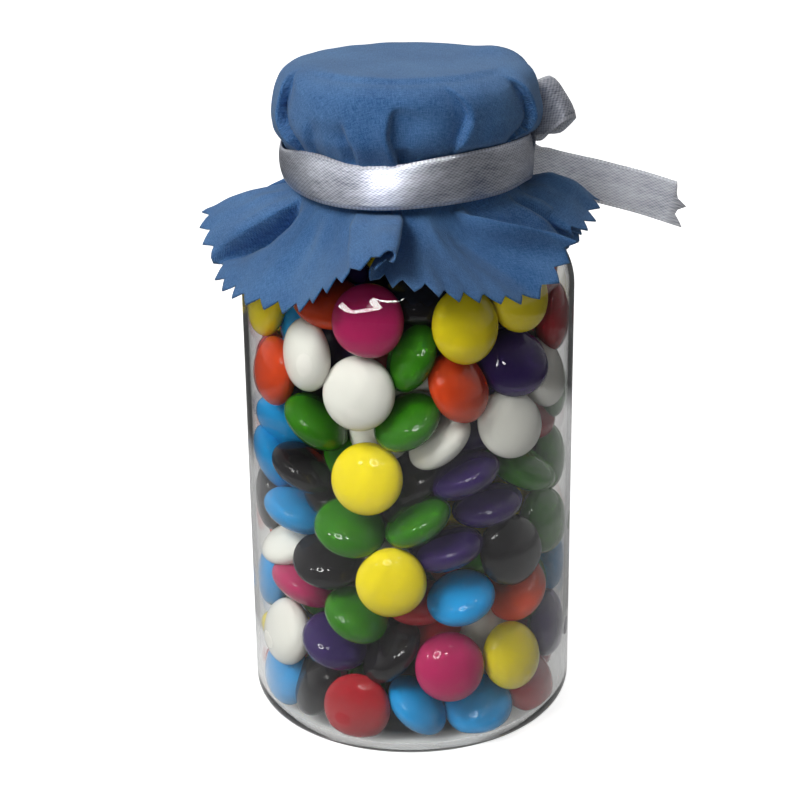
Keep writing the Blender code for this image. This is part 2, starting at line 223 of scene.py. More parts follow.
# Satin ribbon.
RIBBON_WIDTH = 9.3
LANES = 9
LOOP_STEPS = 48
LOOP_ROUNDING = 1.5
TAIL_STEPS = 60
KNOT_HALF_WIDTH = 3.6
KNOT_HALF_HEIGHT = 3.9
RIBBON_THICKNESS = 0.3 * MM
SELVAGE_FROM = 4.1
DASH_PITCH = 1.0 * MM
DASH_ROWS = 0.62 * MM
STITCH_PITCH = 0.8 * MM
# Turn in radians and scales of the streaks.
SATIN_STREAKS = ((0.1, (500.0, 2600.0, 1.0)), (0.7, (90.0, 330.0, 1.0)))
LOOSE_THINNESS = 0.27
# How loosely each part of the ribbon hangs: band, two loops, two ends, knot.
LOOSENESS = (0.0, 0.8, 0.8, 1.0, 1.0, 0.0)
KNOT_BEARING = 122.0
KNOT_RADIUS = 27.6
BAND_MID = 121.9
BAND_RADIUS = 25.5
BAND_BULGE = 0.6
# How far each thread group of a loose end reaches past the cut, from the lower edge up.
FRAYED_END = (3.2, 2.2, 1.0, 1.3, 2.8, 0.6, 0.0, -0.2, -0.6)
# The band's edges: bearing, height of the upper and of the lower one.
BAND_EDGES = [
    (-76, 125.2, 118.6), (-54, 126.9, 117.7), (-41, 127.0, 117.2), (-27, 125.7, 117.0),
    (-14, 125.7, 117.1), (-3, 126.2, 117.3), (14, 127.5, 117.7), (33, 128.1, 118.0),
    (52, 128.2, 118.3), (68, 127.9, 118.8), (95, 126.4, 117.4), (122, 126.0, 117.0),
    (150, 126.6, 117.5), (190, 127.2, 117.8), (230, 126.2, 117.1), (260, 125.6, 117.6),
]

# Camera and light, in metres and degrees.
CAMERA_PLACE = (0.0, -0.39356, 0.21315)
CAMERA_PITCH = 20.185
CAMERA_YAW = -0.29
CAMERA_ROLL = -0.733
LENS = 87.52
LIGHT_TARGET = (0.0, 0.0, 0.07)
LAMP_DISTANCE = 1.2
SATIN_LAMP_DISTANCE = 1.0
GLOW_DISTANCE = 0.8
# Lamps by name, bearing, elevation, size and power: for all, and for the buttons alone.
SOFTBOXES = (("key_softbox", -53.0, 46.0, 0.6, 9.8), ("fill_softbox", 60.0, 35.0, 0.8, 0.5),
             ("back_softbox", 170.0, 55.0, 0.8, 3.4))
BUTTON_LAMPS = (("high_softbox", -53.0, 46.0, 0.6, 9.6), ("low_softbox", -25.0, 8.0, 0.5, 4.4))
# A ring lamp and three small round ones by name, bearing and elevation: only mirrored.
RING_RADIUS = 0.1
RING_THICKNESS = 0.018
DOT_RADIUS = 0.036
DOTS = (("left_dot", -46.0, 38.0), ("right_dot", 12.0, 46.0), ("far_dot", 34.0, 62.0))
GLOW = 45.0
# Outline of a bent strip of light, and of a small one above it, that only the glass mirrors:
# bearing and elevation.
STRIP_LIGHT = [
    (-59, 40), (-55, 37), (-38, 18), (-24, 27), (-34, 43), (-35, 55), (-18, 28), (-19, 24),
    (-35, 14), (-41, 14), (-56, 26), (-59, 31),
]
SMALL_LIGHT = [(-50, 54), (-47, 47), (-41, 49)]
STRIP_GLOW = 30.0
# Lamps for the satin alone: name, bearing, elevation, size, power, and whether it is mirrored.
SATIN_LAMPS = (("satin_gleam", -23.0, 10.0, 0.34, 7.5, True),
               ("satin_sheen", -70.0, 12.0, 0.9, 4.0, True),
               ("satin_front", -5.0, 30.0, 0.4, 2.5, False))
FLOOR_HALF = 6.0
FLOOR_LIFT = 0.78
# Painted light round the jar's foot, where the floor is seen through the glass.
RIM_PAINTED_LIGHT = 0.22
MIRRORED_AHEAD = 0.03
MIRRORED_BEHIND = 0.5
BRIGHT_CENTRE = (0.04, -0.03, 0.0)
BRIGHT_REACH = 0.2
# Painted shade of the floor under the jar.
UNDER_JAR_SHADE = (0.36, 0.41, 0.48, 1.0)


def srgb(red, green, blue):
    """A screen colour of 0 to 255 as the linear colour that shaders take."""
    linear = []
    for value in (red, green, blue):
        share = value / 255
        linear.append(share / 12.92 if share <= 0.04045 else ((share + 0.055) / 1.055) ** 2.4)
    return (*linear, 1.0)


COTTON_DARK, COTTON_PALE, COTTON_PAINTED_SHEEN = srgb(58, 107, 170), srgb(111, 162, 221), srgb(116, 138, 160)
SATIN_DARK, SATIN_PALE, SELVAGE_TONE = srgb(112, 116, 130), srgb(214, 217, 226), srgb(226, 228, 236)


def around(bearing, radius, height):
    """A point by bearing in degrees from the front, growing towards +X."""
    angle = np.radians(bearing)
    parts = np.broadcast_arrays(radius * np.sin(angle), -radius * np.cos(angle), height)
    return np.stack(parts, axis=-1)


def arc(centre_r, centre_z, reach_r, reach_z, start, end, steps):
    """Points on a quarter of an ellipse in the (radius, height) plane."""
    points = []
    for i in range(steps + 1):
        angle = math.radians(start + (end - start) * i / steps)
        points.append((centre_r + reach_r * math.cos(angle), centre_z + reach_z * math.sin(angle)))
    return points


def mesh_object(name, verts, faces, material, uvs=None):
    """A smooth-shaded object of the object's own body."""
    mesh = bpy.data.meshes.new(name)
    mesh.from_pydata([tuple(v) for v in verts], [], faces)
    mesh.polygons.foreach_set("use_smooth", [True] * len(mesh.polygons))
    if uvs is not None:
        layer = mesh.uv_layers.new(name="flat_cut")
        corners = np.zeros(len(mesh.loops), dtype=np.int32)
        mesh.loops.foreach_get("vertex_index", corners)
        layer.data.foreach_set("uv", np.asarray(uvs)[corners].ravel())
    mesh.validate()
    made = bpy.data.objects.new(name, mesh)
    SCENE.collection.objects.link(made)
    made.data.materials.append(material)
    return made


def turned(name, outline, steps, material):
    """A solid of revolution from a (radius, height) outline that starts and ends on the axis."""
    bm = bmesh.new()
    rings = []
    for radius, height in outline:
        if radius == 0.0:
            rings.append([bm.verts.new((0.0, 0.0, height))])
            continue
        turns = [math.tau * i / steps for i in range(steps)]
        rings.append([bm.verts.new((radius * math.cos(a), radius * math.sin(a), height))
                      for a in turns])
    for low, high in zip(rings, rings[1:]):
        for i in range(steps):
            j = (i + 1) % steps
            corners = [low[i % len(low)], low[j % len(low)], high[j % len(high)], high[i % len(high)]]
            bm.faces.new(list(dict.fromkeys(corners)))
    for face in bm.faces:
        face.smooth = True
    mesh = bpy.data.meshes.new(name)
    bm.to_mesh(mesh)
    bm.free()
    made = bpy.data.objects.new(name, mesh)
    SCENE.collection.objects.link(made)
    made.data.materials.append(material)
    return made


def new_material(name):
    material = bpy.data.materials.new(name)
    material.use_nodes = True
    return material, material.node_tree, material.node_tree.nodes["Principled BSDF"]


def add_node(tree, kind, inputs=(), **settings):
    """A node with its settings, and its inputs set to values or linked to sockets."""
    made = tree.nodes.new(kind)
    for name, value in settings.items():
        setattr(made, name, value)
    for name, value in dict(inputs).items():
        if isinstance(value, bpy.types.NodeSocket):
            tree.links.new(value, made.inputs[name])
        else:
            made.inputs[name].default_value = value
    return made


def calc(tree, operation, *values):
    """The result of one step of arithmetic on numbers or sockets."""
    made = add_node(tree, "ShaderNodeMath", dict(enumerate(values)), operation=operation)
    return made.outputs[0]


def ranged(tree, value, start, end, low=0.0, high=1.0):
    """A value carried from the range start to end over to the range low to high."""
    ends = {"Value": value, "From Min": start, "From Max": end, "To Min": low, "To Max": high}
    return add_node(tree, "ShaderNodeMapRange", ends).outputs["Result"]


def blended(tree, factor, low, high):
    """A colour between two colours, by a factor from 0 to 1."""
    made = add_node(tree, "ShaderNodeMix", {"Factor": factor, 6: low, 7: high}, data_type="RGBA")
    return made.outputs[2]


def noise_on(tree, place, scale, detail):
    """Noise at a place, by its scale and detail."""
    made = add_node(tree, "ShaderNodeTexNoise", {"Vector": place, "Scale": scale, "Detail": detail})
    return made.outputs["Fac"]


def streaked_noise(tree, place, scales, turn=0.0):
    """Noise that is drawn out along the thread, with a scale for each direction."""
    drawn_out = add_node(tree, "ShaderNodeMapping", {"Vector": place, "Rotation": (0.0, 0.0, turn),
                                                     "Scale": scales})
    return noise_on(tree, drawn_out.outputs[0], 1.0, 2.0)


def raise_surface(tree, shader, height, strength, distance=THREAD_RELIEF):
    """Gives a shader the relief of a height."""
    bump = add_node(tree, "ShaderNodeBump", {"Height": height, "Strength": strength,
                                             "Distance": distance})
    tree.links.new(bump.outputs["Normal"], shader.inputs["Normal"])


def two_tone(tree, factor, low, high):
    """A colour between two tones, by a factor from 0 to 1."""
    ramp = add_node(tree, "ShaderNodeValToRGB", {"Fac": factor})
    ramp.color_ramp.elements[0].color = low
    ramp.color_ramp.elements[1].color = high
    return ramp.outputs["Color"]


def toned(colour, factor):
    return (*[channel * factor for channel in colour[:3]], 1.0)


def show_mix(tree, factor, first, second):
    """Shows one shader or the other on the surface, by a factor."""
    mix = add_node(tree, "ShaderNodeMixShader", {0: factor, 1: first, 2: second})
    tree.links.new(mix.outputs["Shader"], tree.nodes["Material Output"].inputs["Surface"])


def glass_material():
    """Clear glass that lets lamplight through."""
    material, tree, shader = new_material("clear_glass")
    shader.inputs["Base Color"].default_value = (0.985, 0.99, 0.985, 1.0)
    shader.inputs["Roughness"].default_value = 0.0
    shader.inputs["IOR"].default_value = 1.36
    shader.inputs["Transmission Weight"].default_value = 1.0
    place = add_node(tree, "ShaderNodeTexCoord").outputs["Object"]
    raise_surface(tree, shader, noise_on(tree, place, 45.0, 1.0), 0.05, 0.0004)
    path = add_node(tree, "ShaderNodeLightPath")
    clear = add_node(tree, "ShaderNodeBsdfTransparent", {"Color": (0.97, 0.98, 0.97, 1.0)})
    show_mix(tree, path.outputs["Is Shadow Ray"], shader.outputs["BSDF"], clear.outputs["BSDF"])
    return material


def shell_material(name, colour):
    """Polished candy shell: faint tone changes, slight unevenness and a glossy coat."""
    material, tree, shader = new_material(name)
    place = add_node(tree, "ShaderNodeTexCoord").outputs["Object"]
    tone = two_tone(tree, noise_on(tree, place, 70.0, 1.0), toned(colour, 0.82), toned(colour, 1.12))
    tree.links.new(tone, shader.inputs["Base Color"])
    shader.inputs["Roughness"].default_value = 0.6
    shader.inputs["Specular IOR Level"].default_value = 0.0
    shader.inputs["Coat Weight"].default_value = 1.0
    shader.inputs["Coat Roughness"].default_value = 0.06
    raise_surface(tree, shader, noise_on(tree, place, 260.0, 1.0), 0.005)
    return material


def plain_material(name, colour, roughness, metallic=0.0):
    """A surface with faint mottling, for what is hardly seen."""
    material, tree, shader = new_material(name)
    place = add_node(tree, "ShaderNodeTexCoord").outputs["Object"]
    tone = two_tone(tree, noise_on(tree, place, 220.0, 3.0), toned(colour, 0.8), toned(colour, 1.15))
    tree.links.new(tone, shader.inputs["Base Color"])
    shader.inputs["Roughness"].default_value = roughness
    shader.inputs["Metallic"].default_value = metallic
    return material


def thread_waves(tree, across, pitch):
    """Ridges of threads, pitch metres apart, along one direction of the flat cut."""
    return calc(tree, "SINE", calc(tree, "MULTIPLY", across, math.tau / pitch))


def cotton_threads(tree, place):
    """Uneven tone of the cotton: slubs along both threads, specks and broad clouds."""
    noises = [streaked_noise(tree, place, scales) for scales in COTTON_SCALES]
    total = noises[0]
    for other in noises[1:]:
        total = calc(tree, "ADD", total, other)
    return total


def cotton_material():
    """Plain-woven cotton: two sets of threads, slubs, soft tone changes and a painted sheen, greyer
    where the cloth is seen side-on.
    """
    material, tree, shader = new_material("blue_cotton")
    place = add_node(tree, "ShaderNodeTexCoord").outputs["UV"]
    parts = add_node(tree, "ShaderNodeSeparateXYZ", {"Vector": place})
    warp = thread_waves(tree, parts.outputs["X"], THREAD_PITCH)
    weft = thread_waves(tree, parts.outputs["Y"], THREAD_PITCH)
    weave = calc(tree, "MULTIPLY", warp, weft)
    threads = cotton_threads(tree, place)
    tone = two_tone(tree, ranged(tree, threads, 1.55, 2.45), COTTON_DARK, COTTON_PALE)
    # Painted sheen: the colour turns greyer and paler where the cloth is seen side-on.
    facing = add_node(tree, "ShaderNodeLayerWeight", {"Blend": 0.25}).outputs["Facing"]
    sheened_tone = blended(tree, calc(tree, "MULTIPLY", facing, 0.7), tone, COTTON_PAINTED_SHEEN)
    tree.links.new(sheened_tone, shader.inputs["Base Color"])
    shader.inputs["Roughness"].default_value = 0.9
    shader.inputs["Specular IOR Level"].default_value = 0.2
    shader.inputs["Sheen Weight"].default_value = 0.08
    shader.inputs["Sheen Roughness"].default_value = 0.5
    raise_surface(tree, shader, calc(tree, "ADD", threads, weave), 0.8)
    return material


def satin_weave(tree, place, parts):
    """Slanting dashes of the satin's threads, and the streaks along them."""
    slant = calc(tree, "MULTIPLY_ADD", parts.outputs["Y"], 0.35, parts.outputs["X"])
    dashes = thread_waves(tree, slant, DASH_PITCH)
    rows = thread_waves(tree, parts.outputs["Y"], DASH_ROWS)
    noises = [streaked_noise(tree, place, scales, turn) for turn, scales in SATIN_STREAKS]
    streak = calc(tree, "ADD", calc(tree, "ADD", *noises), -0.5)
    return calc(tree, "MULTIPLY", dashes, rows), streak


def selvage_mask(tree, parts):
    """1 on the stitches of the ribbon's two woven edges, 0 between them."""
    from_middle = calc(tree, "ABSOLUTE", parts.outputs["Y"])
    selvage = calc(tree, "GREATER_THAN", from_middle, SELVAGE_FROM * MM)
    stitch = thread_waves(tree, parts.outputs["X"], STITCH_PITCH)
    return calc(tree, "MULTIPLY", selvage, ranged(tree, stitch, -0.6, 1.0, 0.4))


def satin_material():
    """Satin ribbon: bright slanting threads and stitched selvages, duller and thinner where it
    hangs loose."""
    material, tree, shader = new_material("silver_satin")
    place = add_node(tree, "ShaderNodeTexCoord").outputs["UV"]
    parts = add_node(tree, "ShaderNodeSeparateXYZ", {"Vector": place})
    weave, streak = satin_weave(tree, place, parts)
    mask = selvage_mask(tree, parts)
    tone = two_tone(tree, calc(tree, "MULTIPLY_ADD", weave, 0.3, streak), SATIN_DARK, SATIN_PALE)
    tree.links.new(blended(tree, mask, tone, SELVAGE_TONE), shader.inputs["Base Color"])
    loose = add_node(tree, "ShaderNodeAttribute", attribute_name="loose").outputs["Fac"]
    tree.links.new(ranged(tree, loose, 0.0, 1.0, 0.4, 0.75), shader.inputs["Roughness"])
    tree.links.new(ranged(tree, loose, 0.0, 1.0, 0.7, 0.25), shader.inputs["Metallic"])
    shader.inputs["Anisotropic"].default_value = 0.7
    shader.inputs["Anisotropic Rotation"].default_value = 0.25
    threads = add_node(tree, "ShaderNodeTangent", direction_type="UV_MAP", uv_map="flat_cut")
    tree.links.new(threads.outputs[0], shader.inputs["Tangent"])
    height = calc(tree, "MULTIPLY_ADD", weave, 0.4, streak)
    raise_surface(tree, shader, calc(tree, "ADD", height, mask), 0.5)
    clear = add_node(tree, "ShaderNodeBsdfTransparent")
    show_mix(tree, calc(tree, "MULTIPLY", loose, LOOSE_THINNESS), shader.outputs["BSDF"],
             clear.outputs["BSDF"])
    return material


def own(piece, slot_name, *nodes):
    """The piece rides on the jar's body and stands for the CAD nodes named."""
    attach(piece, "root")
    if nodes:
        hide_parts(*nodes)


def jar_outline(inset):
    """(radius, height) from the start of the heel up to the mouth, inset from the outer face."""
    low = FLOOR if inset else 0.0
    heel = HEEL_RADIUS - inset
    points = arc(JAR_RADIUS - HEEL_RADIUS, low + heel, heel, heel, -90, 0, 12)
    shoulder = arc(JAR_RADIUS - SHOULDER_REACH, SHOULDER_START_Z, SHOULDER_REACH - inset,
                   SHOULDER_HEIGHT - inset, 0, 88, 24)
    fillet_reach = NECK_FILLET + inset
    fillet_r = NECK_RADIUS - inset + fillet_reach
    fillet = arc(fillet_r, SHOULDER_START_Z + SHOULDER_HEIGHT - inset + fillet_reach, fillet_reach,
                 fillet_reach, 240, 180, 6)
    return points + shoulder + fillet + [(NECK_RADIUS - inset, MOUTH_Z)]


def build_jar(material):
    foot = [(0.0, PUNT_DEPTH), (PUNT_RADIUS * 0.75, PUNT_DEPTH), (PUNT_RADIUS, PUNT_DEPTH * 0.5)]
    inner = jar_outline(WALL)[::-1] + [(0.0, FLOOR + PUNT_DEPTH * 0.5)]
    jar = turned("glass_jar", foot + jar_outline(0.0) + inner, GLASS_STEPS, material)
    own(jar, "clear_jar", "jar")
    return jar


def build_lid(material):
    """The lid under the cover, with an edge as round as the cover shows."""
    corner = arc(LID_RADIUS - LID_EDGE, LID_TOP - LID_EDGE, LID_EDGE, LID_EDGE, 90, 0, 10)
    inner = LID_RADIUS - LID_WALL
    inside = arc(inner - LID_EDGE + LID_WALL, LID_TOP - LID_EDGE, LID_EDGE - LID_WALL,
                 LID_EDGE - LID_WALL, 0, 90, 8)
    outline = [(0.0, LID_TOP)] + corner + [(LID_RADIUS, LID_LOW), (inner, LID_LOW)] + inside
    outline += [(0.0, LID_TOP - LID_WALL)]
    lid = turned("round_lid", [(r * MM, z * MM) for r, z in outline[::-1]], 96, material)
    own(lid, "lid_metal", "lid")


def unit(vectors):
    return vectors / np.linalg.norm(vectors, axis=-1, keepdims=True)


def half_width(axes, size, direction):
    """How far a button reaches from its centre along a direction."""
    along = np.sum(axes * direction, axis=-1)
    return size * np.sqrt(BUTTON_A ** 2 - (BUTTON_A ** 2 - BUTTON_B ** 2) * along ** 2)


def contact_arm(axes, size, direction):
    """From the centre to the outermost point along a direction."""
    along = np.sum(axes * direction, axis=-1)[:, None]
    point = BUTTON_A ** 2 * direction - (BUTTON_A ** 2 - BUTTON_B ** 2) * along * axes
    return point * (size ** 2 / half_width(axes, size, direction))[:, None]


INNER_RADIUS = (JAR_RADIUS - WALL) / MM
INNER_FLOOR = FLOOR / MM + 0.3
INNER_HEEL = (HEEL_RADIUS - WALL) / MM
INNER_NECK = (NECK_RADIUS - WALL) / MM
INERTIA = 0.2 * (BUTTON_A ** 2 + BUTTON_B ** 2)


def walls(place):
    """(outward direction, room left from the centre) for each wall that buttons meet."""
    radius = np.hypot(place[:, 0], place[:, 1]) + 1e-9
    height = place[:, 2]
    out = np.stack([place[:, 0] / radius, place[:, 1] / radius, 0 * radius], axis=1)
    up = np.array([0.0, 0.0, 1.0])
    shoulder_r = (JAR_RADIUS - SHOULDER_REACH) / MM
    shoulder_z = SHOULDER_START_Z / MM
    reach_r = (SHOULDER_REACH - WALL) / MM
    reach_z = (SHOULDER_HEIGHT - WALL) / MM
    in_neck = height > shoulder_z + reach_z
    yield out, np.where(in_neck, INNER_NECK, INNER_RADIUS) - radius
    yield up * np.array([[0.0, 0.0, -1.0]]) + 0 * out, height - INNER_FLOOR
    yield up + 0 * out, CORE_TOP + 3.0 - height
    for angle in (30, 60):
        share_r, share_z = math.cos(math.radians(angle)), math.sin(math.radians(angle))
        room = (INNER_HEEL - share_r * (radius - INNER_RADIUS + INNER_HEEL)
                + share_z * (height - INNER_FLOOR - INNER_HEEL))
        yield share_r * out - share_z * up, room
    for angle in (15, 30, 45, 60, 75):
        share_r, share_z = math.cos(math.radians(angle)), math.sin(math.radians(angle))
        room = (math.hypot(reach_r * share_r, reach_z * share_z)
                - share_r * (radius - shoulder_r) - share_z * (height - shoulder_z))
        yield share_r * out + share_z * up, np.where((radius > 18) & ~in_neck, room, 99.0)


def near_pairs(place):
    """Pairs of buttons near enough to touch, and the way from one to the other."""
    gaps = np.linalg.norm(place[:, None] - place[None], axis=2)
    a, b = np.nonzero(np.triu(gaps < 2.2 * BUTTON_A, 1))
    return a, b, unit(place[b] - place[a])


def least_overlap(axes, size, pairs, apart, direction, rounds):
    """Overlap of pairs of buttons, along the direction in which they part soonest."""
    a, b = pairs
    for _ in range(rounds):
        slope = (apart - contact_arm(axes[a], size[a], direction)
                 - contact_arm(axes[b], size[b], direction))
        slope -= np.sum(slope * direction, axis=1)[:, None] * direction
        direction = unit(direction + 0.06 * slope)
    overlap = (half_width(axes[a], size[a], direction) + half_width(axes[b], size[b], direction)
               - np.sum(apart * direction, axis=1))
    return overlap, direction


def settle(place, axes, size, fixed):
    """Pushes and turns overlapping buttons apart inside the jar. The first, fixed ones yield
    less and are drawn home, so some overlap is left where the listed ones crowd."""
    home, home_axes = place[:fixed].copy(), axes[:fixed].copy()
    yielding = np.ones(len(place))
    yielding[:fixed] = FIXED_YIELD
    for step in range(PACK_STEPS):
        grown = size * min(1.0, 0.8 + 0.4 * step / PACK_STEPS)
        fresh = step % PAIRS_EVERY == 0
        if fresh:
            a, b, direction = near_pairs(place)
        overlap, direction = least_overlap(axes, grown, (a, b), place[b] - place[a], direction,
                                           8 if fresh else 2)
        hit = overlap > 0
        move, turn = np.zeros_like(place), np.zeros_like(place)
        for one, sign in ((a[hit], -1.0), (b[hit], 1.0)):
            away = sign * direction[hit]
            torque = np.cross(-contact_arm(axes[one], grown[one], away), away)
            push = 0.25 * overlap[hit] * yielding[one] / (1 + np.sum(torque ** 2, axis=1) / INERTIA)
            np.add.at(move, one, push[:, None] * 2 * away)
            np.add.at(turn, one, push[:, None] * torque / INERTIA)
        for outward, room in walls(place):
            past = np.maximum(half_width(axes, grown, outward) - room, 0.0)
            torque = np.cross(contact_arm(axes, grown, outward), -outward)
            push = past / (1 + np.sum(torque ** 2, axis=1) / INERTIA)
            move -= push[:, None] * outward
            turn += push[:, None] * torque / INERTIA
        place += move
        axes += np.cross(turn, axes)
        place[:fixed] += HOME_PULL * (home - place[:fixed])
        axes[:fixed] += HOME_PULL * (home_axes - axes[:fixed])
        axes[:] = unit(axes)
    return place, axes


def seen_buttons():
    """Places, axes and colours of the buttons in SEEN."""
    places, axes, colours = [], [], []
    for colour, rows in SEEN.items():
        for bearing, height, turn, lean, depth in rows:
            out = around(bearing, 1.0, 0.0)
            side = around(bearing + 90.0, 1.0, 0.0)
            turn, lean = math.radians(turn), math.radians(lean)
            axis = math.cos(lean) * (math.cos(turn) * out + math.sin(turn) * side)
            axis = axis + np.array([0.0, 0.0, math.sin(lean)])
            reach = half_width(axis[None], 1.0, out[None])[0]
            wall = INNER_RADIUS - max(0.0, height - 93.0) * 0.35
            places.append((wall - reach - depth) * out + np.array([0.0, 0.0, height]))
            axes.append(axis)
            colours.append(colour)
    return places, axes, colours


def fill_places(rng, places):
    """Random places for the rest: behind the listed ones at the front, out to the glass elsewhere."""
    places = list(places)
    wanted = len(places) + FILL_COUNT
    for _ in range(20000):
        if len(places) == wanted:
            break
        radius = math.sqrt(rng.uniform(16.0 ** 2, 31.0 ** 2))
        bearing, height = rng.uniform(-180.0, 180.0), rng.uniform(6.0, CORE_TOP)
        at_front = abs(bearing) < 84.0 and height < 104.0
        if (at_front and radius > 21.5) or (height > 104.0 and radius > 17.0):
            continue
        spot = around(bearing, radius, height)
        if np.min(np.linalg.norm(np.array(places) - spot, axis=1)) > 8.4:
            places.append(spot)
    return np.array(places)


def button_template():
    """Points and faces of a flattened round of unit radius and unit half-thickness."""
    points = [(0.0, 0.0, 1.0)]
    for ring in range(1, BUTTON_RINGS + 1):
        angle = math.pi * ring / (BUTTON_RINGS + 1)
        radius = math.sin(angle) ** 0.94
        for i in range(BUTTON_SEGMENTS):
            turn = math.tau * i / BUTTON_SEGMENTS
            points.append((radius * math.cos(turn), radius * math.sin(turn), math.cos(angle)))
    points.append((0.0, 0.0, -1.0))
    faces = []
    last = len(points) - 1
    for i in range(BUTTON_SEGMENTS):
        j = (i + 1) % BUTTON_SEGMENTS
        faces.append((0, 1 + i, 1 + j))
        for ring in range(BUTTON_RINGS - 1):
            low, high = 1 + ring * BUTTON_SEGMENTS, 1 + (ring + 1) * BUTTON_SEGMENTS
            faces.append((low + i, high + i, high + j, low + j))
        foot = 1 + (BUTTON_RINGS - 1) * BUTTON_SEGMENTS
        faces.append((foot + i, last, foot + j))
    return np.array(points), faces


def button_points(template, rng, place, axis, size):
    """The template at its place, with a few slow waves so that no two are alike."""
    waves = sum(rng.normal(0.0, 0.007) * np.sin(template @ rng.normal(0.0, 2.2, 3) + rng.uniform(0, 6))
                for _ in range(3))
    shaped = template * (1.0 + waves)[:, None] * np.array([BUTTON_A, BUTTON_A, BUTTON_B]) * size
    spin = Matrix.Rotation(rng.uniform(0.0, math.tau), 3, "Z")
    stand = Vector(axis).to_track_quat("Z", "Y").to_matrix() @ spin
    return shaped @ np.array(stand).T + place


def build_buttons(materials):
    """One joined piece of each colour, over a core painted dark as shade."""
    rng = np.random.RandomState(11)
    places, axes, colours = seen_buttons()
    fixed = len(places)
    places = fill_places(rng, places)
    count = len(places)
    axes = np.vstack([axes, unit(rng.normal(size=(count - fixed, 3)))])
    size = rng.uniform(1.0 - BUTTON_SPREAD, 1.0 + BUTTON_SPREAD, count)
    names = list(SHELL_COLOURS)
    for spot in places[fixed:]:
        # Painted shade: behind the front buttons and up under the cloth, most fillers are black or
        # purple, so that the gaps read dark.
        dark = (spot[2] > 97.0 or spot[1] < -6.0) and rng.rand() < 0.75
        colours.append(rng.choice(["black", "purple"] if dark else names))
    places, axes = settle(places, axes, size, fixed)
    template, faces = button_template()
    pieces = []
    for colour in names:
        mine = [k for k in range(count) if colours[k] == colour]
        shapes = [button_points(template, rng, places[k], axes[k], size[k]) for k in mine]
        all_faces = [tuple(v + n * len(template) for v in face)
                     for n in range(len(mine)) for face in faces]
        piece = mesh_object(f"buttons_{colour}", np.vstack(shapes) * MM, all_faces,
                            materials[colour])
        own(piece, "candy_shell", "sweets")
        pieces.append(piece)
    # The core's dark colour is painted shade, for the shade deep among the buttons.
    outline = [(0.0, 3.0)] + [(CORE_RADIUS + 1.2 * math.sin(0.9 * z), z) for z in range(4, 132, 2)]
    core = turned("heap_core", [(r * MM, z * MM) for r, z in outline + [(0.0, CORE_TOP)]], 48,
                  plain_material("painted_shade_core", srgb(30, 20, 18), 0.7))
    own(core, "candy_shell", "sweets")
    return pieces


def closed_curve(points, count):
    """count points, evenly spaced along the first three columns, on a smooth closed curve."""
    points = np.array(points, dtype=float)
    total = len(points)
    dense = []
    for k in range(total):
        p = [points[(k + d) % total].copy() for d in (-1, 0, 1, 2)]
        for q, d in zip(p, (-1, 0, 1, 2)):
            q[3] += 360.0 * ((k + d) // total)
        for share in np.arange(12) / 12:
            dense.append(smooth_between(p, share))
    dense = np.array(dense)
    closed = np.vstack([dense, dense[:1]])
    closed[-1, 3] += 360.0
    lengths = np.linalg.norm(np.diff(closed[:, :3], axis=0), axis=1)
    travel = np.concatenate([[0.0], np.cumsum(lengths)])
    wanted = np.linspace(0.0, travel[-1], count, endpoint=False)
    return np.stack([np.interp(wanted, travel, column) for column in closed.T], axis=1), travel[-1]


def smooth_between(p, share):
    """A point between the middle two of four, on a smooth curve through them all."""
    return 0.5 * (2 * p[1] + (p[2] - p[0]) * share
                  + (2 * p[0] - 5 * p[1] + 4 * p[2] - p[3]) * share ** 2
                  + (3 * p[1] - p[0] - 3 * p[2] + p[3]) * share ** 3)


def smooth_route(points, steps):
    """Points on a smooth open curve through a few route points."""
    points = [np.array(p, dtype=float) for p in points]
    ends = [points[0] * 2 - points[1]] + points + [points[-1] * 2 - points[-2]]
    route = []
    for i in range(steps + 1):
        spot = min(i / steps * (len(points) - 1), len(points) - 1 - 1e-9)
        k = int(spot)
        route.append(smooth_between(ends[k:k + 4], spot - k))
    return np.array(route)


def evened(route, steps):
    """The same route with evenly spaced points."""
    travel = np.concatenate([[0.0], np.cumsum(np.linalg.norm(np.diff(route, axis=0), axis=1))])
    wanted = np.linspace(0.0, travel[-1], steps + 1)
    return np.stack([np.interp(wanted, travel, column) for column in route.T], axis=1)


def ease(share):
    """0 to 1 smoothly, flat at both ends."""
    share = np.clip(share, 0.0, 1.0)
    return share * share * (3.0 - 2.0 * share)


def turned_back(bearing):
    """A difference of bearings, from -180 to 180 degrees."""
    return (bearing + 180.0) % 360.0 - 180.0


def crease_shift(bearing, height):
    """How far the cap stands out at its creases, and how far its lips lap over the hollows."""
    relief, lapped = np.zeros_like(bearing), np.zeros_like(bearing)
    for path, top_side, lip, lip_width, hollow, hollow_width, lap in CAP_CREASES:
        spots, heights = zip(*path[::-1])
        line = np.interp(height, heights, spots)
        side = np.radians(turned_back(bearing - line)) * CAP_PROFILE[9][0] * top_side
        deep = ease((heights[-1] + 0.8 - height) / 4.5)
        on_lip = 0.5 + 0.5 * np.tanh(side / max(0.35, 1.1 - 0.7 * lap))
        rise = np.exp(-(np.maximum(side, 0.0) / lip_width) ** 1.5) * on_lip
        sink = np.exp(-(np.maximum(-side, 0.0) / hollow_width) ** 1.3) * (1.0 - on_lip)
        relief += deep * (lip * rise - hollow * sink)
        lapped += deep * lap * top_side * (0.6 * sink - rise)
    return relief, lapped


def gather_relief(bearing, rng):
    """Small uneven pleats all round, as drawn up by the ribbon."""
    relief = np.zeros_like(bearing)
    for k in range(GATHER_COUNT):
        middle = (k + rng.uniform(-0.4, 0.4)) * 360.0 / GATHER_COUNT
        width = rng.uniform(1.2, 3.2)
        relief += rng.uniform(0.2, 1.0) * np.exp(-(turned_back(bearing - middle) / width) ** 2)
    return relief - np.mean(relief)


